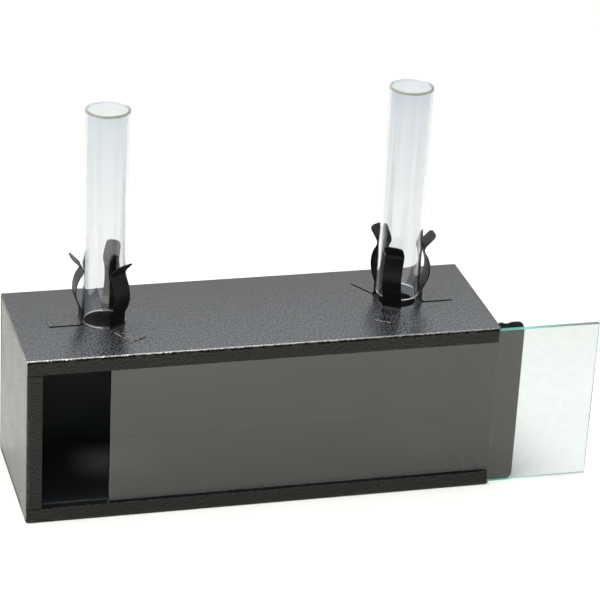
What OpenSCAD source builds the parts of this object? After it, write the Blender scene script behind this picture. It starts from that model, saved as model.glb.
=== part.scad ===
/* [Case] */
// Length of the case, left end to right end
case_length = 270; // [220:1:400]
// Depth of the case, front to back
case_depth = 90; // [80:1:140]
// Height of the case
case_height = 100; // [60:1:160]
// Thickness of the sheet steel
sheet = 0.8; // [0.6:0.1:1.2]
// Inside radius of every fold in the sheet
fold_radius = 1; // [0.6:0.1:1.5]
// Height of the lips along the top and bottom front edges
front_lip = 8.4; // [5:0.1:14]
// Width of the lip along the left front edge
side_lip = 8.6; // [5:0.1:14]
// Width of the open seam above and below the left lip
lip_seam = 0.6; // [0.2:0.1:1]
// How far the front lips stop short of the right end
lip_relief = 1.4; // [0:0.1:4]
// Radius ground on the lower left corner of the front
ground_corner = 2; // [0.5:0.1:3]

/* [End plates] */
// Length of the welding tabs that are turned into the case
tab_length = 9; // [5:0.5:14]
// Clearance between an end plate and the folded sheet round it
plate_gap = 0.1; // [0:0.05:0.3]
// How far the right end plate's front flange stands out of the case
flange_width = 15; // [8:0.5:30]
// How far the flange rises above the top of the case
flange_rise = 1; // [0:0.1:3]
// How far the flange stays above the table
flange_foot = 0.4; // [0.2:0.1:3]
// Corner radius of the flange
flange_corner = 4; // [2:0.5:6]
// Depth of the dip in the flange beside its fold
dip_depth = 0.8; // [0:0.1:2]

/* [Glass window] */
// Thickness of the window glass
glass_thickness = 3; // [2:0.5:4]
// Play of the glass between the front lips and the guides
glass_play = 1.7; // [0.6:0.1:3]
// Play of the glass between the floor and the top
glass_height_play = 1.4; // [0.6:0.1:3]
// Clearance under the glass where it slides on the floor
glass_floor_gap = 0.2; // [0.1:0.05:0.3]
// Clearance at the left end of the glass when it is closed
glass_end_gap = 0.3; // [0.2:0.1:1]
// How far the closed glass stops short of the flange's edge
glass_setback = 1; // [0:0.5:4]
// How far the glass is pulled out
glass_pull = 45.6; // [0:0.1:150]
// Height of the guide strips behind the glass
guide_height = 7.8; // [5:0.1:14]
// Depth of the guide strips' welded legs
guide_leg = 10; // [6:0.5:14]

/* [Chimneys] */
// Outside diameter of the chimneys
tube_diameter = 25; // [20:0.5:32]
// Wall of the chimneys
tube_wall = 1.5; // [1:0.1:2]
// Length of the chimneys
tube_length = 126; // [80:1:200]
// Width of the fire-polished corners of the rims
rim_corner = 0.4; // [0.1:0.1:0.4]
// Width of the ledge round each hole that a chimney stands on
seat_ledge = 2; // [1.6:0.1:4]
// Left hole's centre from the left end
left_hole_inset = 50.7; // [40:0.1:70]
// Right hole's centre from the right end
right_hole_inset = 48.5; // [40:0.5:70]
// Both holes' centres from the front
hole_depth = 46.5; // [40:0.5:50]
// How far the left chimney stands off the top
left_tube_lift = 0.2; // [0.1:0.1:10]
// How far the right chimney is held above the top
right_tube_lift = 5; // [0.2:0.1:10]

/* [Spring clips] */
// Width of the spring strip
strip_width = 11; // [8:0.5:14]
// Thickness of the spring strip
strip = 0.5; // [0.4:0.05:0.7]
// Length of a clip's foot, from its upright outwards
foot_length = 18.5; // [12:0.5:24]
// Inside radius of the fold above a clip's foot
clip_fold = 1.5; // [0.6:0.1:2]
// How far the left front clip sits to the left of its chimney's middle
front_clip_shift = 1.5; // [0:0.1:3]
// Height of a clip above the top of the case
clip_height = 41; // [38:0.5:60]
// Height of the straight part above the foot
clip_rise = 7.5; // [4:0.5:10]
// Height of the bowed part, from the straight part to the neck
bow_height = 24.8; // [20:0.2:27]
// Radius of the bow, at the middle of the strip
bow_radius = 18; // [16:0.5:30]
// Radius of the crimps above and below the bow, at the middle of the strip
crimp_radius = 3.5; // [2:0.5:6]
// How far the neck lies inside the straight part
neck_inset = 0.2; // [0:0.1:2]
// Clearance between the neck and the chimney
neck_gap = 0.15; // [0.05:0.05:0.3]
// Lean of the flared tip from the upright, in degrees
flare_angle = 44; // [15:1:50]
// Corner radius of the tip
tip_corner = 3; // [1:0.5:4]

/* [Hidden] */

$fn = 64;
// Overrun of every cut past the face that it leaves through
over = 1;

// Colours of the painted steel, the dark spring steel and the two kinds of glass
paint = "dimgray";
spring_black = [0.12, 0.12, 0.12];
window_tint = [0.6, 0.85, 0.75, 0.45];
tube_tint = [0.85, 0.93, 0.95, 0.4];

// Faces of the case. The origin is at the middle of the underside, +X to the right and +Y to the back
left = -case_length / 2;
right = case_length / 2;
front = -case_depth / 2;
back = case_depth / 2;
fold_outer = fold_radius + sheet;

// The channel that the glass runs in lies between the front lips and this plane
channel_back = front + sheet + glass_play + glass_thickness;
glass_front = front + sheet + glass_play * 0.6;
glass_height = case_height - 2 * sheet - glass_height_play;
glass_length = case_length - sheet - glass_end_gap + flange_width - glass_setback;
glass_closed = left + sheet + glass_end_gap;

// The end plates' tabs start behind the guides' legs
tab_front = channel_back + guide_leg + over;
plate_top = case_height - sheet - plate_gap;
plate_bottom = sheet + plate_gap;
plate_back = back - sheet - plate_gap;
flange_top = case_height + flange_rise;
ear_gap = plate_gap + 0.1;

// Chimneys and the holes under them
tube_radius = tube_diameter / 2;
hole_radius = tube_radius - seat_ledge;
hole_y = front + hole_depth;
left_hole_x = left + left_hole_inset;
right_hole_x = right - right_hole_inset;

// Spring clips: the neck's radius follows the chimney, and the crimps' angles follow the bow's height
neck_radius = tube_radius + neck_gap + strip / 2;
base_radius = neck_radius + neck_inset;
foot_radius = base_radius + foot_length;
crimp_span = bow_radius + crimp_radius;
mean_crimp = asin(norm([bow_height, neck_inset]) / (2 * crimp_span));
crimp_skew = atan2(neck_inset, bow_height);
lower_crimp = mean_crimp - crimp_skew;
upper_crimp = mean_crimp + crimp_skew;
neck_z = clip_rise + bow_height;

// Rectangle between two corners
module span(low, high) {
  translate(low) square(high - low);
}

// Box between two corners
module block(low, high) {
  translate(low) cube(high - low);
}

// Rectangle with four round corners
module round_span(low, high, radius) {
  span(low + [radius, 0], high - [radius, 0]);
  span(low + [0, radius], high - [0, radius]);
  for (x = [low.x + radius, high.x - radius], y = [low.y + radius, high.y - radius])
    translate([x, y]) circle(radius);
}

// Rectangle with its four corners cut off
module cut_span(low, high, corner) {
  polygon([[low.x + corner, low.y], [high.x - corner, low.y],
           [high.x, low.y + corner], [high.x, high.y - corner],
           [high.x - corner, high.y], [low.x + corner, high.y],
           [low.x, high.y - corner], [low.x, low.y + corner]]);
}

// Band of a circle between two angles less than half a turn apart, given at the band's middle radius.
// Its ends lap over the neighbouring pieces by the angle lap
module arc_band(centre, radius, from, to, thickness, lap = 0) {
  far = 3 * (radius + thickness);
  middle = (from + to) / 2;
  translate(centre) intersection() {
    difference() {
      circle(radius + thickness / 2);
      circle(radius - thickness / 2);
    }
    polygon([[0, 0], far * [cos(from - lap), sin(from - lap)], far * [cos(middle), sin(middle)],
             far * [cos(to + lap), sin(to + lap)]]);
  }
}

// Folded corner of the sheet with its outer faces on the two axes and a leg along each
module folded_angle(first_leg, second_leg) {
  arc_band([fold_outer, fold_outer], fold_radius + sheet / 2, 180, 270, sheet);
  if (first_leg > fold_outer) span([fold_outer, 0], [first_leg, sheet]);
  if (second_leg > fold_outer) span([0, fold_outer], [sheet, second_leg]);
}

// Outline of the folded case in the plane across its length
module shell_outline() {
  difference() {
    round_span([front, 0], [back, case_height], fold_outer);
    round_span([front + sheet, sheet], [back - sheet, case_height - sheet], fold_radius);
    span([front - over, front_lip], [front + sheet, case_height - front_lip]);
  }
}

// Places a shape drawn in Y and Z so that it runs along X
module along_x(start, length) {
  translate([start, 0, 0]) rotate([90, 0, 90]) linear_extrude(length) children();
}

// Folded sheet round the top, back and floor, with a lip along both front edges
module case_shell() {
  color(paint) difference() {
    along_x(left, case_length) shell_outline();
    for (x = [left_hole_x, right_hole_x])
      translate([x, hole_y, case_height / 2]) cylinder(h = case_height, r = hole_radius);
    block([right - lip_relief, front - over, -over], [right + over, front + fold_outer, case_height + over]);
    translate([left, front - over, 0]) rotate([-90, 0, 0]) linear_extrude(fold_outer + over) difference() {
      span([-over, -ground_corner], [ground_corner, over]);
      translate([ground_corner, -ground_corner]) circle(ground_corner);
    }
  }
}

// Tabs of an end plate whose outer face is at x = 0, turned towards +X at the top, the bottom and the back
module plate_tabs() {
  for (upper = [0, 1])
    translate([0, tab_front, upper ? plate_top : plate_bottom]) mirror([0, 0, upper])
      rotate([-90, 0, 0]) mirror([0, 1, 0])
        linear_extrude(plate_back - fold_outer - tab_front) folded_angle(tab_length, fold_outer);
  translate([0, plate_back, plate_bottom + fold_outer]) mirror([0, 1, 0])
    linear_extrude(plate_top - plate_bottom - 2 * fold_outer) folded_angle(tab_length, fold_outer);
}

// Flat of an end plate between its folds. In front of the tabs it has the full height
module plate_flat(front_edge) {
  along_x(0, sheet) {
    span([front_edge, plate_bottom + fold_outer], [plate_back - fold_outer, plate_top - fold_outer]);
    span([front_edge, plate_bottom], [tab_front, plate_top]);
  }
}

// Left end: its front edge is turned in between the shell's two lips, and ears close the slit behind them
module left_end_plate() {
  lip_low = front_lip + lip_seam;
  lip_high = case_height - front_lip - lip_seam;
  color(paint) translate([left, 0, 0]) {
    plate_flat(front + fold_outer);
    plate_tabs();
    along_x(0, sheet)
      for (rise = [[plate_bottom + fold_radius, lip_low], [lip_high, plate_top - fold_radius]])
        span([front + sheet + ear_gap, rise[0]], [front + fold_outer + over, rise[1]]);
    translate([0, front, lip_low]) linear_extrude(lip_high - lip_low) folded_angle(side_lip, fold_outer);
  }
}

// Front flange of the right end plate, drawn in X and Z, with round corners and a dip beside the fold
module flange_outline(start) {
  dip_radius = 4.5;
  difference() {
    union() {
      round_span([start, flange_foot], [flange_width, flange_top], flange_corner);
      span([start, flange_foot], [start + flange_corner, flange_top]);
    }
    translate([start + dip_radius - 1, flange_top + dip_radius - dip_depth]) circle(dip_radius);
  }
}

// Right end: its front edge is turned out behind the glass. Outside the case the fold has the flange's height
module right_end_plate() {
  color(paint) translate([right, 0, 0]) {
    mirror([1, 0, 0]) {
      plate_flat(channel_back + fold_outer);
      plate_tabs();
    }
    translate([-sheet, channel_back, plate_bottom])
      linear_extrude(plate_top - plate_bottom) folded_angle(fold_outer, fold_outer);
    translate([0, 0, flange_foot]) linear_extrude(flange_top - flange_foot) intersection() {
      translate([-sheet, channel_back]) folded_angle(fold_outer, fold_outer);
      span([plate_gap, channel_back], [fold_outer, channel_back + fold_outer]);
    }
    translate([0, channel_back + sheet, 0]) rotate([90, 0, 0]) linear_extrude(sheet)
      flange_outline(fold_radius);
  }
}

// Guide strip drawn on the floor, with its upright behind the glass and its leg turned back
module guide_strip() {
  along_x(left + sheet, case_length - 2 * sheet)
    translate([channel_back, sheet]) folded_angle(guide_leg, guide_height);
}

module lower_glass_guide() {
  color(paint) guide_strip();
}

module upper_glass_guide() {
  color(paint) translate([0, 0, case_height]) mirror([0, 0, 1]) guide_strip();
}

// Window pane, pulled out to the right
module glass_window() {
  color(window_tint) translate([glass_closed + glass_pull, glass_front, sheet + glass_floor_gap])
    cube([glass_length, glass_thickness, glass_height]);
}

// Glass tube with fire-polished rims, standing on z = 0
module chimney() {
  color(tube_tint) rotate_extrude()
    cut_span([tube_radius - tube_wall, 0], [tube_radius, tube_length], rim_corner);
}

module left_chimney() {
  translate([left_hole_x, hole_y, case_height + left_tube_lift]) chimney();
}

module right_chimney() {
  translate([right_hole_x, hole_y, case_height + right_tube_lift]) chimney();
}

// Side view of a clip: foot, upright, bow, neck and flared tip, from the chimney's axis outwards
module clip_outline() {
  lap = 0.2;
  fold = clip_fold + strip / 2;
  lower_centre = [base_radius + crimp_radius, clip_rise];
  bow_centre = lower_centre + crimp_span * [-cos(lower_crimp), sin(lower_crimp)];
  upper_centre = [neck_radius + crimp_radius, neck_z];
  flare_start = upper_centre + crimp_radius * [-cos(flare_angle), sin(flare_angle)];
  flare_length = (clip_height - flare_start.y) / cos(flare_angle);
  span([base_radius + fold, 0], [foot_radius, strip]);
  arc_band([base_radius + fold, strip / 2 + fold], fold, 180, 270, strip, lap);
  span([base_radius - strip / 2, strip / 2 + fold], [base_radius + strip / 2, clip_rise]);
  arc_band(lower_centre, crimp_radius, 180 - lower_crimp, 180, strip, lap);
  arc_band(bow_centre, bow_radius, -lower_crimp, upper_crimp, strip, lap);
  arc_band(upper_centre, crimp_radius, 180 - flare_angle, 180 + upper_crimp, strip, lap);
  translate(flare_start) rotate(-flare_angle) translate([-strip / 2, 0])
    square([strip, flare_length + strip]);
}

// Formed clip on the case's top that points away from the chimney's axis, at a turn round that axis.
// The shift moves it across that direction
module spring_clip(hole_x, turn, shift = 0) {
  half = strip_width / 2;
  color(spring_black) translate([hole_x, hole_y, case_height]) rotate(turn) translate([0, -shift, 0])
    intersection() {
      translate([0, half, 0]) rotate([90, 0, 0]) linear_extrude(strip_width) clip_outline();
      rotate([90, 0, 90]) linear_extrude(foot_radius) {
        span([-half, 0], [half, clip_height - tip_corner]);
        round_span([-half, 0], [half, clip_height], tip_corner);
      }
    }
}

// The left set starts at the left and the right set mirrors it
module left_chimney_left_clip() {
  spring_clip(left_hole_x, 180);
}

module left_chimney_front_clip() {
  spring_clip(left_hole_x, 300, front_clip_shift);
}

module left_chimney_back_clip() {
  spring_clip(left_hole_x, 60);
}

module right_chimney_right_clip() {
  spring_clip(right_hole_x, 0);
}

module right_chimney_front_clip() {
  spring_clip(right_hole_x, 240);
}

module right_chimney_back_clip() {
  spring_clip(right_hole_x, 120);
}

case_shell();
left_end_plate();
right_end_plate();
upper_glass_guide();
lower_glass_guide();
glass_window();
left_chimney();
right_chimney();
left_chimney_left_clip();
left_chimney_front_clip();
left_chimney_back_clip();
right_chimney_right_clip();
right_chimney_front_clip();
right_chimney_back_clip();
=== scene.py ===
"""Air convection apparatus: a folded steel case with a sliding glass front and two glass chimneys."""

import math

import bmesh
import bpy
from mathutils import Matrix, Vector


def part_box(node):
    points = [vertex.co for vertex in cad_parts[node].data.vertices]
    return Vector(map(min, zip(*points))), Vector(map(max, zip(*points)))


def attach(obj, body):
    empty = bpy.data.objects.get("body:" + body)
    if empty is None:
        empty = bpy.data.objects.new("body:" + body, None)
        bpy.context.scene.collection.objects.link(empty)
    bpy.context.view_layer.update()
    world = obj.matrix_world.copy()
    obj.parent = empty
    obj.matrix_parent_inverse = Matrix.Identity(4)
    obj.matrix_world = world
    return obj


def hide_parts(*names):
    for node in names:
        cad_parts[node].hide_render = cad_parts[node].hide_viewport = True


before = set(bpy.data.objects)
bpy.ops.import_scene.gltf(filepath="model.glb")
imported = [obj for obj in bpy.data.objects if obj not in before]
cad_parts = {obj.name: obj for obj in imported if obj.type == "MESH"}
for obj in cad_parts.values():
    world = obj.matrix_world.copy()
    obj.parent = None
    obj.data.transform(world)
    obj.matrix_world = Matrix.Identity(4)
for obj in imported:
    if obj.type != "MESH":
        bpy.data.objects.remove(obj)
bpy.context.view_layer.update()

bl_info = {
    "name": "Air Convection Apparatus",
    "version": (1, 0, 0),
    "blender": (4, 5, 0),
    "location": "3D View > Sidebar > Convection",
    "description": "Dresses the steel case, glass window, glass chimneys and clips of a convection box",
    "category": "Object",
}

MM = 0.001
# Points closer than this are one point
MERGE = 0.002 * MM
# Edges sharper than this are rounded
SHARP = math.radians(50)
# Values of the edge attribute: paint worn at a sheet's edge, and painted highlights at the edges of a clip's
# foot
WORN, FOOT_GLINT = 1.0, 2.0
# Warm tint painted into the reflections of enamel and glass, a painted warmth of the light they reflect
WARM_REFLECTION = (1.0, 0.985, 0.93, 1.0)
SHEETS = ("case_shell", "left_end_plate", "right_end_plate", "upper_glass_guide", "lower_glass_guide")
CLIP_SETS = {
    "left": ("left_chimney_left_clip", "left_chimney_front_clip", "left_chimney_back_clip"),
    "right": ("right_chimney_right_clip", "right_chimney_front_clip", "right_chimney_back_clip"),
}


# Sizes and colours that a user can change


class ConvectionSizes(bpy.types.PropertyGroup):
    """Sizes of what is added to the frame, in metres."""

    sheet: bpy.props.FloatProperty(
        name="Sheet", description="Thickness of the steel sheet", default=0.8 * MM, unit="LENGTH", precision=5
    )
    paint_edge: bpy.props.FloatProperty(
        name="Paint Edge", description="Rounding of the painted sheet's edges", default=0.2 * MM,
        unit="LENGTH", precision=5,
    )
    arris: bpy.props.FloatProperty(
        name="Arris", description="Width of the ground corners of the window", default=0.2 * MM,
        unit="LENGTH", precision=5,
    )
    tube_wall: bpy.props.FloatProperty(
        name="Tube Wall", description="Wall of the glass chimneys", default=1.5 * MM, unit="LENGTH",
        precision=5,
    )
    rim_height: bpy.props.FloatProperty(
        name="Rim Height", description="Height of the melted and the ground rims", default=1.3 * MM,
        unit="LENGTH", precision=5,
    )
    strip_width: bpy.props.FloatProperty(
        name="Strip Width", description="Width of the spring strip", default=11 * MM, unit="LENGTH",
        precision=5,
    )
    strip: bpy.props.FloatProperty(
        name="Strip", description="Thickness of the spring strip", default=0.5 * MM, unit="LENGTH",
        precision=5,
    )
    fold_radius: bpy.props.FloatProperty(
        name="Fold Radius", description="Inside radius of the fold above a clip's foot", default=1.5 * MM,
        unit="LENGTH", precision=5,
    )
    clip_rise: bpy.props.FloatProperty(
        name="Clip Rise", description="Height of the straight part above a clip's foot", default=7.5 * MM,
        unit="LENGTH", precision=5,
    )
    bow_height: bpy.props.FloatProperty(
        name="Bow Height", description="Height from the straight part to the neck", default=24.8 * MM,
        unit="LENGTH", precision=5,
    )
    bow_radius: bpy.props.FloatProperty(
        name="Bow Radius", description="Radius of the bow at the middle of the strip", default=18 * MM,
        unit="LENGTH", precision=5,
    )
    crimp_radius: bpy.props.FloatProperty(
        name="Crimp Radius", description="Radius of the crimps above and below the bow", default=3.5 * MM,
        unit="LENGTH", precision=5,
    )
    neck_gap: bpy.props.FloatProperty(
        name="Neck Gap", description="Clearance between a clip's neck and the chimney", default=0.15 * MM,
        unit="LENGTH", precision=5,
    )
    neck_inset: bpy.props.FloatProperty(
        name="Neck Inset", description="How far the neck lies inside the straight part", default=0.2 * MM,
        unit="LENGTH", precision=5,
    )
    flare_angle: bpy.props.FloatProperty(
        name="Flare Angle", description="Lean of the flared tip from the upright", default=math.radians(44),
        subtype="ANGLE",
    )
    tip_corner: bpy.props.FloatProperty(
        name="Tip Corner", description="Corner radius of a clip's tip", default=3 * MM, unit="LENGTH",
        precision=5,
    )
    front_clip_shift: bpy.props.FloatProperty(
        name="Front Clip Shift", description="How far the left front clip sits beside its chimney's middle",
        default=1.5 * MM, unit="LENGTH", precision=5,
    )


class ConvectionColours(bpy.types.PropertyGroup):
    """Colours and finishes."""

    enamel: bpy.props.FloatVectorProperty(
        name="Enamel", description="Charcoal hammertone enamel", subtype="COLOR", size=3,
        default=(0.0032, 0.0029, 0.0022),
    )
    enamel_cell: bpy.props.FloatProperty(
        name="Hammer Cell", description="Size of one dimple in the enamel", default=1.6 * MM, unit="LENGTH",
        precision=5,
    )
    # Dust colour, used also as painted light on faces that look up
    dust_and_light: bpy.props.FloatVectorProperty(
        name="Dust", description="Dust on the faces that look up", subtype="COLOR", size=3,
        default=(0.075, 0.08, 0.088),
    )
    inside: bpy.props.FloatVectorProperty(
        name="Inside", description="Matt black inside the case", subtype="COLOR", size=3,
        default=(0.033, 0.037, 0.036),
    )
    spring: bpy.props.FloatVectorProperty(
        name="Spring", description="Blackened spring steel", subtype="COLOR", size=3,
        default=(0.0035, 0.003, 0.0025),
    )
    window: bpy.props.FloatVectorProperty(
        name="Window", description="Tint of the window glass", subtype="COLOR", size=3,
        default=(0.600, 0.642, 0.651),
    )
    window_edge: bpy.props.FloatVectorProperty(
        name="Window Edge", description="Colour of the window's ground edges", subtype="COLOR", size=3,
        default=(0.20, 0.65, 0.55),
    )
    tube: bpy.props.FloatVectorProperty(
        name="Tube", description="Tint of the chimney glass low down", subtype="COLOR", size=3,
        default=(0.804, 0.814, 0.843),
    )
    # Painted shade in the upper part of the chimneys
    tube_top_shade: bpy.props.FloatVectorProperty(
        name="Tube Top", description="Tint of the chimney glass at the rim", subtype="COLOR", size=3,
        default=(0.66, 0.69, 0.745),
    )
    rim: bpy.props.FloatVectorProperty(
        name="Rim", description="Colour of the chimneys' upper rims", subtype="COLOR", size=3,
        default=(0.36, 0.35, 0.27),
    )
    # Painted highlight on the far side of the upper rims
    far_rim_highlight: bpy.props.FloatVectorProperty(
        name="Far Rim", description="Colour of the upper rims towards the back", subtype="COLOR", size=3,
        default=(0.80, 0.80, 0.87),
    )
    foot_rim: bpy.props.FloatVectorProperty(
        name="Foot Rim", description="Colour of the chimneys' ground lower rims", subtype="COLOR", size=3,
        default=(0.98, 0.97, 0.93),
    )


class ConvectionStudio(bpy.types.PropertyGroup):
    """Camera, floor and light."""

    eye: bpy.props.FloatVectorProperty(
        name="Eye", description="Place of the camera", subtype="TRANSLATION", size=3,
        default=(-0.3620, -1.3544, 0.7694),
    )
    heading: bpy.props.FloatProperty(
        name="Heading", description="Turn of the view from the back towards the right",
        default=math.radians(16.084), subtype="ANGLE",
    )
    dip: bpy.props.FloatProperty(
        name="Dip", description="How far the camera looks down", default=math.radians(25.229), subtype="ANGLE"
    )
    roll: bpy.props.FloatProperty(
        name="Roll", description="Lean of the camera to the left", default=math.radians(3.158),
        subtype="ANGLE",
    )
    lens: bpy.props.FloatProperty(
        name="Lens", description="Focal length in millimetres on a 36 mm sensor", default=164.96
    )
    shift: bpy.props.FloatProperty(
        name="Shift", description="Upright shift of the lens, as a share of the frame", default=-0.0019
    )
    sky: bpy.props.FloatProperty(
        name="Sky", description="Brightness of the white surround", default=1.74
    )
    room: bpy.props.FloatProperty(
        name="Room", description="Brightness of the room in front of the case, above the table", default=0.07
    )
    softbox: bpy.props.FloatProperty(
        name="Softbox", description="Power of the softbox over the case, in watts", default=11.5
    )
    softbox_place: bpy.props.FloatVectorProperty(
        name="Softbox Place", description="Middle of the softbox", subtype="TRANSLATION", size=3,
        default=(-0.25, -0.2, 1.3),
    )
    softbox_size: bpy.props.FloatVectorProperty(
        name="Softbox Size", description="Width and depth of the softbox", size=2, default=(0.5, 0.3)
    )
    floor: bpy.props.FloatVectorProperty(
        name="Floor", description="Colour of the floor in front", subtype="COLOR", size=3,
        default=(0.90, 0.875, 0.82),
    )
    # Painted shade on the floor behind the case
    floor_behind_shade: bpy.props.FloatVectorProperty(
        name="Floor Behind", description="Colour of the floor behind the case", subtype="COLOR", size=3,
        default=(0.73, 0.72, 0.655),
    )


# Node trees written as expressions


class Wire:
    """An output socket that works in Python sums, products and comparisons."""

    def __init__(self, graph, socket):
        self.graph = graph
        self.socket = socket

    def out(self, name):
        return Wire(self.graph, self.socket.node.outputs[name])

    def __add__(self, other):
        return self.graph.math("ADD", self, other)

    def __sub__(self, other):
        return self.graph.math("SUBTRACT", self, other)

    def __mul__(self, other):
        return self.graph.math("MULTIPLY", self, other)

    def __gt__(self, other):
        return self.graph.math("GREATER_THAN", self, other)

    def __radd__(self, other):
        return self.graph.math("ADD", other, self)

    def __rsub__(self, other):
        return self.graph.math("SUBTRACT", other, self)

    def __rmul__(self, other):
        return self.graph.math("MULTIPLY", other, self)

    def __rtruediv__(self, other):
        return self.graph.math("DIVIDE", other, self)


class Graph:
    """A node tree that is filled by one method."""

    def __init__(self, tree):
        self.tree = tree
        tree.nodes.clear()

    def add(self, kind, settings=None, sockets=None, output=0):
        """Adds a node, and gives the wire from one of its outputs."""
        node = self.tree.nodes.new(kind)
        for name, value in (settings or {}).items():
            setattr(node, name, value)
        for key, value in (sockets or {}).items():
            self.feed(node.inputs[key], value)
        return Wire(self, node.outputs[output]) if len(node.outputs) else node

    def feed(self, socket, value):
        if isinstance(value, Wire):
            self.tree.links.new(value.socket, socket)
        elif value is not None:
            socket.default_value = value

    def math(self, operation, first, second=None):
        return self.add("ShaderNodeMath", {"operation": operation}, {0: first, 1: second})

    def parts(self, vector):
        """The X, Y and Z of a vector, as the outputs of one wire's node."""
        return self.add("ShaderNodeSeparateXYZ", {}, {0: vector})

    def ramp(self, value, low, high, start=0.0, end=1.0):
        """A straight ramp from start to end as value goes from low to high."""
        return self.add(
            "ShaderNodeMapRange", {"clamp": True},
            {"Value": value, "From Min": low, "From Max": high, "To Min": start, "To Max": end},
        )

    def noise(self, place, scale, detail, output=0):
        """Soft noise with so many grains a metre: its value, or its colour."""
        return self.add(
            "ShaderNodeTexNoise", {}, {"Vector": place, "Scale": scale, "Detail": detail}, output
        )

    def bump(self, height, distance, strength=1.0):
        return self.add(
            "ShaderNodeBump", {}, {"Strength": strength, "Distance": distance, "Height": height}
        )

    def mix_colour(self, factor, first, second):
        return self.add("ShaderNodeMix", {"data_type": "RGBA"}, {0: factor, 6: first, 7: second}, output=2)

    def finish(self, sockets):
        """Ends a material's tree in one shader."""
        shader = self.add("ShaderNodeBsdfPrincipled", {}, sockets)
        self.add("ShaderNodeOutputMaterial", {}, {"Surface": shader})


def rgba(colour):
    return (colour[0], colour[1], colour[2], 1.0)


def material(name):
    """A new material, its graph, and the wire of the place on the piece."""
    made = bpy.data.materials.new(name)
    made.use_nodes = True
    graph = Graph(made.node_tree)
    return made, graph, graph.add("ShaderNodeTexCoord", output="Object")


def scaled(colour, factor):
    """A lighter or darker colour."""
    return rgba([min(1.0, part * factor) for part in colour])


def enamel_relief(graph, place, cell, forward, sideways):
    """Height of the enamel, its dimples and its grain. It is rougher on the upright faces."""
    warp = graph.noise(place, cell * 0.7, 1.0, "Color")
    warped = graph.add(
        "ShaderNodeMix", {"data_type": "VECTOR"}, {0: 0.0006, 4: place, 5: warp}, output=1
    )
    dimples = graph.add(
        "ShaderNodeTexVoronoi", {"feature": "SMOOTH_F1"},
        {"Vector": warped, "Scale": cell, "Smoothness": 0.7}, output="Distance",
    )
    grain = graph.noise(place, cell * 2.0, 2.0)
    blobs = graph.noise(place, cell * 1.4, 1.0)
    height = (
        dimples * (0.3 + forward * 0.6) + grain * (0.5 + forward * 1.2 + sideways * 0.8)
        + blobs * (forward * 1.6 + sideways)
    )
    return height, dimples, grain


def hammertone_enamel(colours):
    """Charcoal enamel that dries into small dimples, with nibs, dust and worn edges. It also carries painted
    light: a highlight along the top's folds, highlights on the front clips' feet, and dust that lightens the
    front of the top.
    """
    made, graph, place = material("hammertone_enamel")
    spot = graph.parts(place)
    facing = graph.parts(graph.add("ShaderNodeNewGeometry", output="Normal"))
    upward = facing.out("Z")
    forward = graph.ramp(graph.math("ABSOLUTE", facing.out("Y")), 0.85, 1.0)
    sideways = graph.ramp(graph.math("ABSOLUTE", facing.out("X")), 0.85, 1.0)
    cell = 1.0 / colours.enamel_cell
    height, dimples, grain = enamel_relief(graph, place, cell, forward, sideways)
    colour = graph.mix_colour(
        graph.ramp(dimples, 0.1, 0.7), scaled(colours.enamel, 0.8), scaled(colours.enamel, 1.3)
    )

    # Worn paint along the sheets' edges
    edge = graph.add("ShaderNodeAttribute", {"attribute_name": "edge"}, output="Fac")
    worn = edge * graph.ramp(graph.noise(place, 260.0, 3.0), 0.5, 0.62)
    colour = graph.mix_colour(worn, colour, (0.022, 0.021, 0.019, 1.0))

    # Light nibs that fell into the wet enamel
    nibs = graph.add("ShaderNodeTexVoronoi", {}, {"Vector": place, "Scale": 26.0}, output="Distance")
    colour = graph.mix_colour(graph.ramp(nibs, 0.014, 0.009), colour, (0.3, 0.3, 0.28, 1.0))

    # Painted highlights at the edges of the front clips' feet: pale specks that stand for bare steel catching
    # the light
    stretched = graph.add("ShaderNodeMapping", {}, {"Vector": place, "Scale": (1.0, 0.6, 1.0)})
    specks = graph.noise(stretched, cell * 1.6, 1.0)
    foot_glints = graph.ramp(edge, WORN, FOOT_GLINT) * graph.ramp(specks, 0.4, 0.55)
    colour = graph.mix_colour(foot_glints, colour, (0.5, 0.46, 0.36, 1.0))

    # Dust in specks on the faces that look up. Its amount grows towards the front, a painted light that makes
    # the front of the top lighter
    painted_front_light = graph.ramp(spot.out("Y"), 0.045, -0.045, 0.3, 0.95)
    dust_and_light = graph.ramp(specks, 0.38, 0.62, 0.05, 0.75) * graph.ramp(upward, 0.8, 1.0) * painted_front_light
    colour = graph.mix_colour(dust_and_light, colour, rgba(colours.dust_and_light))

    # Painted highlight along the folds of the top: a strip of bare metal that stands in for the lamp's
    # highlight, brightest towards the left and faint on the clips' folds
    fold = graph.ramp(upward + grain * 0.9, 1.25, 1.35) * graph.ramp(upward, 0.998, 0.985)
    on_top = graph.ramp(spot.out("Z"), 0.09, 0.095) * graph.ramp(spot.out("Z"), 0.1001, 0.1003, 1.0, 0.3)
    highlight_falloff = graph.ramp(spot.out("X"), -0.06, 0.14, 0.75, 0.32)
    fold_highlight = fold * on_top * highlight_falloff * graph.ramp(specks, 0.35, 0.5, 0.65)
    colour = graph.mix_colour(fold_highlight, colour, (0.62, 0.61, 0.57, 1.0))

    graph.finish({
        "Base Color": colour,
        # Metallic only in the painted highlight along the folds
        "Metallic": fold_highlight,
        "Roughness": graph.ramp(graph.noise(place, 45.0, 2.0), 0.3, 0.7, 0.14, 0.2),
        "IOR": 1.345,
        "Specular Tint": WARM_REFLECTION,
        "Normal": graph.bump(height, 0.28 * MM),
    })
    return made


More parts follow.
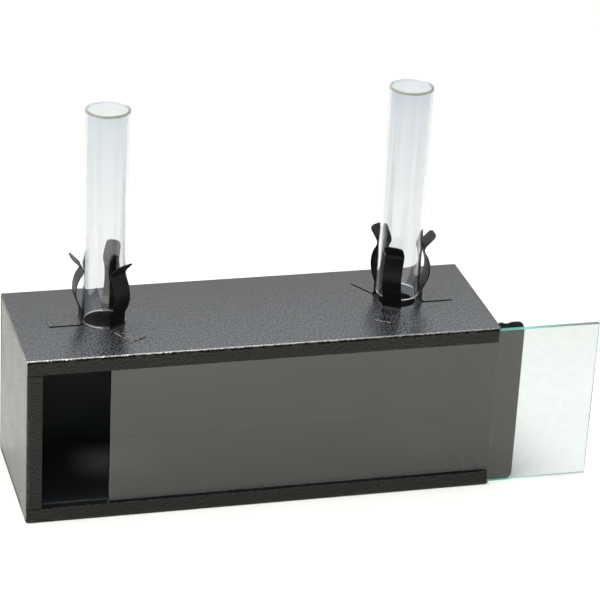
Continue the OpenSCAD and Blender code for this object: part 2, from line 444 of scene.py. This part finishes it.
def matt_inside(colours):
    """Soot-black coat on the inner faces. The faces that look up get a lighter dust colour, which is dust and
    also painted light on the inner floor.
    """
    made, graph, place = material("matt_black_inside")
    cloud = graph.noise(place, 30.0, 3.0)
    colour = graph.mix_colour(cloud, rgba(colours.inside), scaled(colours.inside, 1.6))
    upward = graph.parts(graph.add("ShaderNodeNewGeometry", output="Normal")).out("Z")
    # Dust and painted light on the inner faces that look up
    dust_and_light = graph.ramp(upward, 0.5, 1.0) * (cloud + 0.4)
    graph.finish({
        "Base Color": graph.mix_colour(dust_and_light, colour, rgba(colours.dust_and_light)),
        "Roughness": graph.ramp(cloud, 0.3, 0.7, 0.55, 0.7),
        "Specular IOR Level": 0.12,
        "Normal": graph.bump(graph.noise(place, 900.0, 2.0), 0.03 * MM, 0.1),
    })
    return made


def blackened_spring(colours):
    """Black oxide on rolled strip, a little mottled."""
    made, graph, place = material("blackened_spring_steel")
    cloud = graph.noise(place, 160.0, 4.0)
    grain = graph.noise(place, 2200.0, 2.0)
    colour = graph.mix_colour(
        graph.ramp(cloud, 0.35, 0.75), rgba(colours.spring), scaled(colours.spring, 2.2)
    )
    graph.finish({
        "Base Color": colour,
        "Roughness": graph.ramp(cloud, 0.3, 0.7, 0.34, 0.46),
        "IOR": 1.25,
        "Normal": graph.bump(grain + cloud, 0.03 * MM, 0.35),
    })
    return made


def clear_glass(name, tint, shaded_upper_tint, index, ripple, draw):
    """Clear glass with a faint ripple and streaks. A draw under 1 stretches the streaks upwards.
    From the chimneys' middle up the glass is painted darker and bluer towards shaded_upper_tint, fastest at
    their rims: a painted shade."""
    made, graph, place = material(name)
    drawn = graph.add("ShaderNodeMapping", {}, {"Vector": place, "Scale": (1.0, 1.0, draw)})
    streaks = graph.ramp(graph.noise(drawn, 260.0, 2.0), 0.35, 0.65)
    low = graph.mix_colour(streaks, rgba(tint), scaled(tint, 1.05))
    high = graph.mix_colour(streaks, rgba(shaded_upper_tint), scaled(shaded_upper_tint, 1.05))
    height = graph.parts(place).out("Z")
    # Painted shade that darkens the chimneys from the middle up
    upward = graph.ramp(height, 0.15, 0.226, 0.0, 0.62) + graph.ramp(height, 0.216, 0.230, 0.0, 0.38)
    graph.finish({
        "Base Color": graph.mix_colour(upward, low, high),
        "Roughness": 0.0,
        "IOR": index,
        "Transmission Weight": 1.0,
        "Specular Tint": WARM_REFLECTION,
        "Normal": graph.bump(graph.noise(place, 40.0, 1.0), 0.05 * MM, ripple),
    })
    return made


def ground_edge(colours):
    """Green edge of the window, ground and faintly frosted. Past the case its outer end is painted darker
    grey, a painted shade.
    """
    made, graph, place = material("window_ground_edge")
    tide = graph.noise(place, 60.0, 3.0)
    along = graph.parts(place).out("X")
    # Painted shade on the outer end of the edge
    outer_shade = graph.ramp(along + tide * 0.02, 0.157, 0.188)
    graph.finish({
        "Base Color": graph.mix_colour(outer_shade, rgba(colours.window_edge), (0.13, 0.19, 0.17, 1.0)),
        "Roughness": 0.3,
        "IOR": 1.52,
        "Transmission Weight": 0.5,
        "Normal": graph.bump(graph.noise(place, 1200.0, 2.0), 0.05 * MM, 0.5),
    })
    return made


def glass_rim(name, near_colour, far_highlight, roughness, clearness):
    """Rim of a chimney, melted round or ground. Towards the back its tone goes to far_highlight, a painted
    highlight on the rim's far side.
    """
    made, graph, place = material(name)
    tide = graph.ramp(graph.noise(place, 90.0, 3.0), 0.3, 0.7)
    colour = graph.mix_colour(tide, scaled(near_colour, 0.85), rgba(near_colour))
    # Painted highlight: the rim's far half is lighter
    backward = graph.ramp(graph.parts(place).out("Y"), -0.002, 0.009)
    graph.finish({
        "Base Color": graph.mix_colour(backward, colour, rgba(far_highlight)),
        "Roughness": roughness,
        "IOR": 1.47,
        "Transmission Weight": clearness,
        "Normal": graph.bump(graph.noise(place, 1500.0, 2.0), 0.03 * MM, 0.3),
    })
    return made


def studio_floor(studio):
    """Pale matt floor, painted darker behind the case as a painted shade."""
    made, graph, place = material("studio_floor")
    # Painted shade behind the case
    behind = graph.ramp(graph.parts(place).out("Y"), -0.02, 0.25)
    cloud = graph.noise(place, 3.0, 1.0)
    graph.finish({
        "Base Color": graph.mix_colour(behind + cloud * 0.05, rgba(studio.floor), rgba(studio.floor_behind_shade)),
        "Roughness": 0.9,
        "Specular IOR Level": 0.2,
    })
    return made


def materials(context):
    """The materials of the object, made once and then found by name."""
    colours = context.scene.convection_colours
    makers = {
        "hammertone_enamel": lambda name: hammertone_enamel(colours),
        "matt_black_inside": lambda name: matt_inside(colours),
        "blackened_spring_steel": lambda name: blackened_spring(colours),
        "window_ground_edge": lambda name: ground_edge(colours),
        "clear_window_glass": lambda name: clear_glass(
            name, colours.window, colours.window, index=1.54, ripple=0.06, draw=1.0
        ),
        "clear_tube_glass": lambda name: clear_glass(
            name, colours.tube, colours.tube_top_shade, index=1.47, ripple=0.12, draw=0.02
        ),
        "chimney_upper_rim": lambda name: glass_rim(
            name, colours.rim, colours.far_rim_highlight, roughness=0.3, clearness=0.55
        ),
        "chimney_foot_rim": lambda name: glass_rim(
            name, colours.foot_rim, colours.foot_rim, roughness=0.1, clearness=0.95
        ),
    }
    return {name: bpy.data.materials.get(name) or make(name) for name, make in makers.items()}


# Mesh helpers


def link(name, mesh):
    made = bpy.data.objects.new(name, mesh)
    bpy.context.scene.collection.objects.link(made)
    return made


def settle(piece):
    """Turns a piece with live modifiers into a plain mesh, which must have faces."""
    graph = bpy.context.evaluated_depsgraph_get()
    mesh = bpy.data.meshes.new_from_object(piece.evaluated_get(graph))
    if not mesh.polygons:
        raise RuntimeError(piece.name + " came out without faces")
    mesh.name = piece.name
    piece.modifiers.clear()
    piece.data = mesh


def dress(piece, body, slot, *nodes):
    """Puts a finished piece on its body in place of the frame's nodes."""
    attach(piece, body)
    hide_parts(*nodes)


def let_light_through(piece):
    """Takes off the dark shadow that clear glass casts in Cycles. Real glass lets the light through."""
    piece.visible_shadow = False


def merged_copy(node):
    """A closed copy of a node's mesh, with its flat faces whole."""
    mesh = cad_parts[node].data.copy()
    shape = bmesh.new()
    shape.from_mesh(mesh)
    bmesh.ops.remove_doubles(shape, verts=shape.verts, dist=MERGE)
    bmesh.ops.dissolve_limit(
        shape, angle_limit=math.radians(0.5), verts=shape.verts, edges=shape.edges,
        use_dissolve_boundaries=False,
    )
    shape.to_mesh(mesh)
    shape.free()
    return mesh


def weigh_normals(piece):
    """Keeps large faces flat in the shading where they run into narrow ones."""
    weighted = piece.modifiers.new("Weighted Normals", "WEIGHTED_NORMAL")
    weighted.mode = "FACE_AREA"
    weighted.weight = 100


def soften(piece, width):
    """Rounds the sharp edges of a piece and shades the rest smooth."""
    bevel = piece.modifiers.new("Edges", "BEVEL")
    bevel.width = width
    bevel.segments = 2
    bevel.limit_method = "ANGLE"
    bevel.angle_limit = SHARP
    piece.data.shade_smooth()
    weigh_normals(piece)
    settle(piece)


def face_length(piece, face):
    """Longest side of a face."""
    corners = [piece.data.vertices[index].co for index in face.vertices]
    return max((second - first).length for first, second in zip(corners, corners[1:] + corners[:1]))


def inside_case(point):
    """Whether a point lies behind the outer faces of the case."""
    low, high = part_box("case_shell")
    skin = bpy.context.scene.convection_sizes.sheet * 0.9
    return all(low[i] + skin < point[i] < high[i] - skin for i in range(3))


def painted_sheet(node, found):
    """A sheet of the case with rounded paint edges, black where it faces the inside."""
    piece = link(node + "_painted", merged_copy(node))
    piece.data.materials.clear()
    piece.data.materials.append(found["hammertone_enamel"])
    piece.data.materials.append(found["matt_black_inside"])
    soften(piece, bpy.context.scene.convection_sizes.paint_edge)
    narrow = 0.3 * MM
    edge = piece.data.attributes.new("edge", "FLOAT", "FACE")
    for face in piece.data.polygons:
        face.material_index = 1 if inside_case(face.center) else 0
        edge.data[face.index].value = WORN if face.area < narrow * face_length(piece, face) else 0.0
    dress(piece, "case", "hammertone_paint", node)


# The clips' profile


class Pen:
    """Draws a strip's middle line from straights and arcs, in the plane of the radius and the height."""

    def __init__(self, radius, height, heading, step):
        self.place = Vector((radius, height))
        self.heading = heading
        self.step = step
        self.points = [self.place.copy()]

    def straight(self, length, parts=1):
        ahead = Vector((math.cos(self.heading), math.sin(self.heading)))
        for part in range(parts):
            self.place = self.place + ahead * (length / parts)
            self.points.append(self.place.copy())

    def arc(self, radius, turn):
        """Positive turns go to the left."""
        side = 1 if turn > 0 else -1
        centre = self.place + side * radius * Vector((-math.sin(self.heading), math.cos(self.heading)))
        parts = max(3, round(abs(turn) / self.step))
        spoke = self.place - centre
        for part in range(1, parts + 1):
            spun = spoke.copy()
            spun.rotate(Matrix.Rotation(turn * part / parts, 2))
            self.points.append(centre + spun)
        self.heading += turn
        self.place = self.points[-1].copy()


def clip_profile(sizes, tube_radius, foot_radius, top):
    """Middle line of a clip from its foot's end to its tip, and how many of its points lie in the foot."""
    fold = sizes.fold_radius + sizes.strip / 2
    neck_radius = tube_radius + sizes.neck_gap + sizes.strip / 2
    base_radius = neck_radius + sizes.neck_inset
    reach = 2 * (sizes.bow_radius + sizes.crimp_radius)
    mean = math.asin(math.hypot(sizes.bow_height, sizes.neck_inset) / reach)
    skew = math.atan2(sizes.neck_inset, sizes.bow_height)
    pen = Pen(foot_radius, sizes.strip / 2, math.pi, math.radians(7))
    pen.straight(foot_radius - base_radius - fold, 8)
    foot_points = len(pen.points)
    pen.arc(fold, -math.pi / 2)
    pen.straight(sizes.clip_rise - pen.place.y, 3)
    pen.arc(sizes.crimp_radius, -(mean - skew))
    pen.arc(sizes.bow_radius, 2 * mean)
    pen.arc(sizes.crimp_radius, -(mean + skew) - sizes.flare_angle)
    square_end = sizes.strip / 2 * math.tan(sizes.flare_angle)
    pen.straight((top - pen.place.y) / math.sin(pen.heading) - square_end, 10)
    return pen.points, foot_points


def clip_strip(sizes, tube_radius, foot_radius, top):
    """The middle sheet of one clip that points along +X, with round corners at its tip."""
    points, foot_points = clip_profile(sizes, tube_radius, foot_radius, top)
    half = sizes.strip_width / 2
    travelled = [0.0]
    for first, second in zip(points, points[1:]):
        travelled.append(travelled[-1] + (second - first).length)
    shape = bmesh.new()
    columns = 8
    rows = []
    for point, distance in zip(points, travelled):
        left = travelled[-1] - distance
        inset = max(0.0, sizes.tip_corner - left)
        narrow = sizes.tip_corner - math.sqrt(max(0.0, sizes.tip_corner**2 - inset**2))
        width = half - narrow
        across = [width * (2 * column / columns - 1) for column in range(columns + 1)]
        rows.append([shape.verts.new((point.x, side, point.y)) for side in across])
    painted = shape.faces.layers.int.new("painted")
    for index, (first, second) in enumerate(zip(rows, rows[1:])):
        for column in range(columns):
            face = shape.faces.new((first[column], first[column + 1], second[column + 1], second[column]))
            face[painted] = 1 if index < foot_points + 1 else 0
            face.smooth = True
    mesh = bpy.data.meshes.new("clip_strip")
    shape.to_mesh(mesh)
    shape.free()
    return mesh


# Geometry node trees


def group(name, inputs):
    """An empty geometry tree with named inputs, and its graph."""
    tree = bpy.data.node_groups.new(name, "GeometryNodeTree")
    graph = Graph(tree)
    tree.interface.new_socket("Geometry", in_out="INPUT", socket_type="NodeSocketGeometry")
    for label, kind in inputs.items():
        tree.interface.new_socket(label, in_out="INPUT", socket_type=kind)
    tree.interface.new_socket("Geometry", in_out="OUTPUT", socket_type="NodeSocketGeometry")
    return tree, graph, graph.add("NodeGroupInput")


def run_tree(piece, tree, values):
    """Gives a piece a geometry tree with its inputs set by identifier."""
    modifier = piece.modifiers.new(tree.name, "NODES")
    modifier.node_group = tree
    for item in tree.interface.items_tree:
        if item.in_out == "INPUT" and item.name in values:
            modifier[item.identifier] = values[item.name]


def clip_ring_tree():
    """Sets copies of a strip round an upright axis."""
    tree, graph, given = group("Clip Ring", {
        "Clips": "NodeSocketInt", "First Turn": "NodeSocketFloat", "Axis": "NodeSocketVector",
        "Second Clip Shift": "NodeSocketFloat", "Steel": "NodeSocketMaterial", "Paint": "NodeSocketMaterial",
    })
    points = graph.add(
        "GeometryNodePoints", {}, {"Count": given.out("Clips"), "Position": given.out("Axis")}
    )
    number = graph.add("GeometryNodeInputIndex")
    turn = given.out("First Turn") + number * (math.tau / given.out("Clips"))
    spin = graph.add("ShaderNodeCombineXYZ", {}, {"Z": turn})
    ring = graph.add(
        "GeometryNodeInstanceOnPoints", {},
        {"Points": points, "Instance": given.out("Geometry"), "Rotation": spin},
    )
    aside = graph.add("ShaderNodeCombineXYZ", {}, {"Y": 0 - given.out("Second Clip Shift")})
    second = graph.math("COMPARE", number, 1)
    shifted = graph.add(
        "GeometryNodeTranslateInstances", {},
        {"Instances": ring, "Selection": second, "Translation": aside, "Local Space": True},
    )
    real = graph.add("GeometryNodeRealizeInstances", {}, {"Geometry": shifted})
    steel = graph.add("GeometryNodeSetMaterial", {}, {"Geometry": real, "Material": given.out("Steel")})
    foot = graph.add("GeometryNodeInputNamedAttribute", {"data_type": "INT"}, {"Name": "painted"})
    done = graph.add(
        "GeometryNodeSetMaterial", {},
        {"Geometry": steel, "Selection": foot > 0.5, "Material": given.out("Paint")},
    )
    graph.add("NodeGroupOutput", {}, {"Geometry": done})
    return tree


def tube_tree():
    """Turns a wall with round rims about an upright axis."""
    tree, graph, given = group("Glass Tube", {
        "Outer Radius": "NodeSocketFloat", "Wall": "NodeSocketFloat", "Length": "NodeSocketFloat",
        "Foot": "NodeSocketVector", "Glass": "NodeSocketMaterial",
    })
    radius, wall, length = given.out("Outer Radius"), given.out("Wall"), given.out("Length")
    circle = graph.add(
        "GeometryNodeCurvePrimitiveCircle", {}, {"Resolution": 128, "Radius": radius - wall * 0.5}
    )
    section = graph.add(
        "GeometryNodeCurvePrimitiveQuadrilateral", {"mode": "RECTANGLE"}, {"Width": wall, "Height": length}
    )
    rounded = graph.add(
        "GeometryNodeFilletCurve", {"mode": "POLY"}, {"Curve": section, "Count": 8, "Radius": wall * 0.49}
    )
    swept = graph.add("GeometryNodeCurveToMesh", {}, {"Curve": circle, "Profile Curve": rounded})
    half = graph.add("ShaderNodeCombineXYZ", {}, {"Z": length * 0.5})
    foot = graph.add("ShaderNodeVectorMath", {"operation": "ADD"}, {0: given.out("Foot"), 1: half})
    placed = graph.add("GeometryNodeTransform", {}, {"Geometry": swept, "Translation": foot})
    real = graph.add("GeometryNodeRealizeInstances", {}, {"Geometry": placed})
    done = graph.add("GeometryNodeSetMaterial", {}, {"Geometry": real, "Material": given.out("Glass")})
    graph.add("NodeGroupOutput", {}, {"Geometry": done})
    return tree


# Operators


class CONVECTION_OT_case(bpy.types.Operator):
    """Paints the folded sheets of the case"""

    bl_idname = "convection.case"
    bl_label = "Paint Case"

    def execute(self, context):
        found = materials(context)
        for node in SHEETS:
            painted_sheet(node, found)
        return {"FINISHED"}


class CONVECTION_OT_window(bpy.types.Operator):
    """Makes the glass window with ground edges"""

    bl_idname = "convection.window"
    bl_label = "Make Window"

    def execute(self, context):
        found = materials(context)
        piece = link("window_pane", merged_copy("glass_window"))
        piece.data.materials.clear()
        piece.data.materials.append(found["clear_window_glass"])
        piece.data.materials.append(found["window_ground_edge"])
        bevel = piece.modifiers.new("Arris", "BEVEL")
        bevel.width = context.scene.convection_sizes.arris
        bevel.segments = 1
        bevel.limit_method = "ANGLE"
        settle(piece)
        upright = 0.3
        for face in piece.data.polygons:
            face.material_index = 0 if abs(face.normal.z) < upright else 1
        let_light_through(piece)
        dress(piece, "window", "window_glass", "glass_window")
        return {"FINISHED"}


class CONVECTION_OT_chimneys(bpy.types.Operator):
    """Makes the two glass chimneys with melted upper rims and ground lower ones"""

    bl_idname = "convection.chimneys"
    bl_label = "Make Chimneys"

    def execute(self, context):
        found = materials(context)
        sizes = context.scene.convection_sizes
        tree = tube_tree()
        for side in CLIP_SETS:
            node = side + "_chimney"
            low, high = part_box(node)
            piece = link(node + "_tube", bpy.data.meshes.new(node))
            run_tree(piece, tree, {
                "Outer Radius": (high.x - low.x) / 2,
                "Wall": sizes.tube_wall,
                "Length": high.z - low.z,
                "Foot": ((low.x + high.x) / 2, (low.y + high.y) / 2, low.z),
                "Glass": found["clear_tube_glass"],
            })
            settle(piece)
            shape = bmesh.new()
            shape.from_mesh(piece.data)
            bmesh.ops.remove_doubles(shape, verts=shape.verts, dist=MERGE)
            bmesh.ops.recalc_face_normals(shape, faces=shape.faces)
            rim = sizes.rim_height
            for height in (low.z + rim, high.z - rim):
                whole = [*shape.verts, *shape.edges, *shape.faces]
                bmesh.ops.bisect_plane(shape, geom=whole, plane_co=(0, 0, height), plane_no=(0, 0, 1))
            shape.to_mesh(piece.data)
            shape.free()
            piece.data.materials.append(found["chimney_upper_rim"])
            piece.data.materials.append(found["chimney_foot_rim"])
            for face in piece.data.polygons:
                height = face.center.z
                face.material_index = 1 if height > high.z - rim else 2 if height < low.z + rim else 0
            piece.data.shade_smooth()
            weigh_normals(piece)
            settle(piece)
            let_light_through(piece)
            dress(piece, side + "_tube", "chimney_glass", node)
        return {"FINISHED"}


class CONVECTION_OT_clips(bpy.types.Operator):
    """Makes the rings of spring clips round the chimneys"""

    bl_idname = "convection.clips"
    bl_label = "Make Clips"

    def execute(self, context):
        found = materials(context)
        sizes = context.scene.convection_sizes
        tree = clip_ring_tree()
        for side, nodes in CLIP_SETS.items():
            low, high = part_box(side + "_chimney")
            axis = Vector(((low.x + high.x) / 2, (low.y + high.y) / 2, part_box(nodes[0])[0].z))
            first_low, first_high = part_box(nodes[0])
            reach = max(abs(first_low.x - axis.x), abs(first_high.x - axis.x))
            strip = clip_strip(sizes, (high.x - low.x) / 2, reach, first_high.z - axis.z)
            piece = link(side + "_clip_ring", strip)
            run_tree(piece, tree, {
                "Clips": len(nodes),
                "First Turn": math.pi if side == "left" else 0.0,
                "Axis": axis,
                "Second Clip Shift": sizes.front_clip_shift if side == "left" else 0.0,
                "Steel": found["blackened_spring_steel"],
                "Paint": found["hammertone_enamel"],
            })
            wall = piece.modifiers.new("Strip", "SOLIDIFY")
            wall.thickness = sizes.strip
            wall.offset = 0.0
            soften(piece, sizes.strip * 0.25)
            # Painted highlights go on the steep edge faces of the clips in front of their chimneys
            steep = 0.9
            edge = piece.data.attributes.new("edge", "FLOAT", "FACE")
            for face in piece.data.polygons:
                ahead = face.center.y < low.y - sizes.strip
                edge.data[face.index].value = FOOT_GLINT if ahead and abs(face.normal.z) < steep else 0.0
            dress(piece, "case", "spring_strip", *nodes)
        return {"FINISHED"}


class CONVECTION_OT_stage(bpy.types.Operator):
    """Sets up the floor, the light and the camera"""

    bl_idname = "convection.stage"
    bl_label = "Set Stage"

    def execute(self, context):
        studio = context.scene.convection_studio
        self.place_camera(context, studio)
        self.lay_floor(studio)
        self.hang_softbox(studio)
        self.surround(context, studio)
        context.scene.view_settings.view_transform = "Standard"
        return {"FINISHED"}

    def place_camera(self, context, studio):
        camera = bpy.data.cameras.new("camera")
        camera.sensor_width = 36.0
        camera.lens = studio.lens
        camera.shift_y = studio.shift
        camera.clip_start = 0.05
        camera.clip_end = 50.0
        seen = link("camera", camera)
        ahead = Vector((
            math.sin(studio.heading) * math.cos(studio.dip),
            math.cos(studio.heading) * math.cos(studio.dip),
            -math.sin(studio.dip),
        ))
        right = Vector((math.cos(studio.heading), -math.sin(studio.heading), 0.0))
        up = right.cross(ahead)
        leaning_right = right * math.cos(studio.roll) + up * math.sin(studio.roll)
        leaning_up = up * math.cos(studio.roll) - right * math.sin(studio.roll)
        turn = Matrix((leaning_right, leaning_up, -ahead)).transposed()
        seen.matrix_world = Matrix.Translation(studio.eye) @ turn.to_4x4()
        context.scene.camera = seen

    def lay_floor(self, studio):
        half = 6.0
        corners = [(-half, -half, 0), (half, -half, 0), (half, half, 0), (-half, half, 0)]
        mesh = bpy.data.meshes.new("floor")
        mesh.from_pydata(corners, [], [(0, 1, 2, 3)])
        mesh.materials.append(studio_floor(studio))
        floor = link("floor", mesh)

    def hang_softbox(self, studio):
        lamp = bpy.data.lights.new("softbox", "AREA")
        lamp.shape = "RECTANGLE"
        lamp.size, lamp.size_y = studio.softbox_size
        lamp.energy = studio.softbox
        hung = link("softbox", lamp)
        hung.location = studio.softbox_place

    def surround(self, context, studio):
        """White all round, and darker in front above the table."""
        world = bpy.data.worlds.new("studio")
        world.use_nodes = True
        context.scene.world = world
        graph = Graph(world.node_tree)
        way = graph.parts(graph.add("ShaderNodeTexCoord", output="Generated"))
        front = graph.ramp(way.out("Y"), -0.1, -0.6)
        above = graph.ramp(way.out("Z"), 0.0, 0.12)
        # Behind, the wall is brightest half way up
        behind = graph.ramp(way.out("Y"), 0.1, 0.6) * graph.ramp(way.out("X"), -0.3, -0.05)
        rise = graph.ramp(way.out("Z"), 0.34, 0.50, -0.6, 0.8)
        fall = graph.ramp(way.out("Z"), 0.50, 0.65, 0.0, 0.75)
        white = studio.sky * (1.0 + behind * (rise - fall))
        strength = white + front * above * (studio.room - studio.sky)
        sky = graph.add("ShaderNodeBackground", {}, {"Color": (0.96, 0.99, 1.02, 1), "Strength": strength})
        graph.add("ShaderNodeOutputWorld", {}, {"Surface": sky})


class CONVECTION_PT_panel(bpy.types.Panel):
    """Lists the steps that dress the frame"""

    bl_idname = "CONVECTION_PT_panel"
    bl_label = "Convection Apparatus"
    bl_space_type = "VIEW_3D"
    bl_region_type = "UI"
    bl_category = "Convection"

    def draw(self, context):
        layout = self.layout
        for operator in OPERATORS:
            layout.operator(operator.bl_idname)
        for group_name in GROUPS:
            holder = getattr(context.scene, group_name)
            for name in holder.bl_rna.properties.keys():
                if name not in ("rna_type", "name"):
                    layout.prop(holder, name)


GROUPS = {
    "convection_sizes": ConvectionSizes,
    "convection_colours": ConvectionColours,
    "convection_studio": ConvectionStudio,
}
OPERATORS = (
    CONVECTION_OT_stage,
    CONVECTION_OT_case,
    CONVECTION_OT_window,
    CONVECTION_OT_chimneys,
    CONVECTION_OT_clips,
)


def register():
    for item in (*GROUPS.values(), *OPERATORS, CONVECTION_PT_panel):
        bpy.utils.register_class(item)
    for name, kind in GROUPS.items():
        setattr(bpy.types.Scene, name, bpy.props.PointerProperty(type=kind))


def unregister():
    for name in GROUPS:
        delattr(bpy.types.Scene, name)
    for item in reversed((*GROUPS.values(), *OPERATORS, CONVECTION_PT_panel)):
        bpy.utils.unregister_class(item)


def main():
    register()
    for step in (
        bpy.ops.convection.stage,
        bpy.ops.convection.case,
        bpy.ops.convection.window,
        bpy.ops.convection.chimneys,
        bpy.ops.convection.clips,
    ):
        step()


if __name__ == "__main__":
    main()
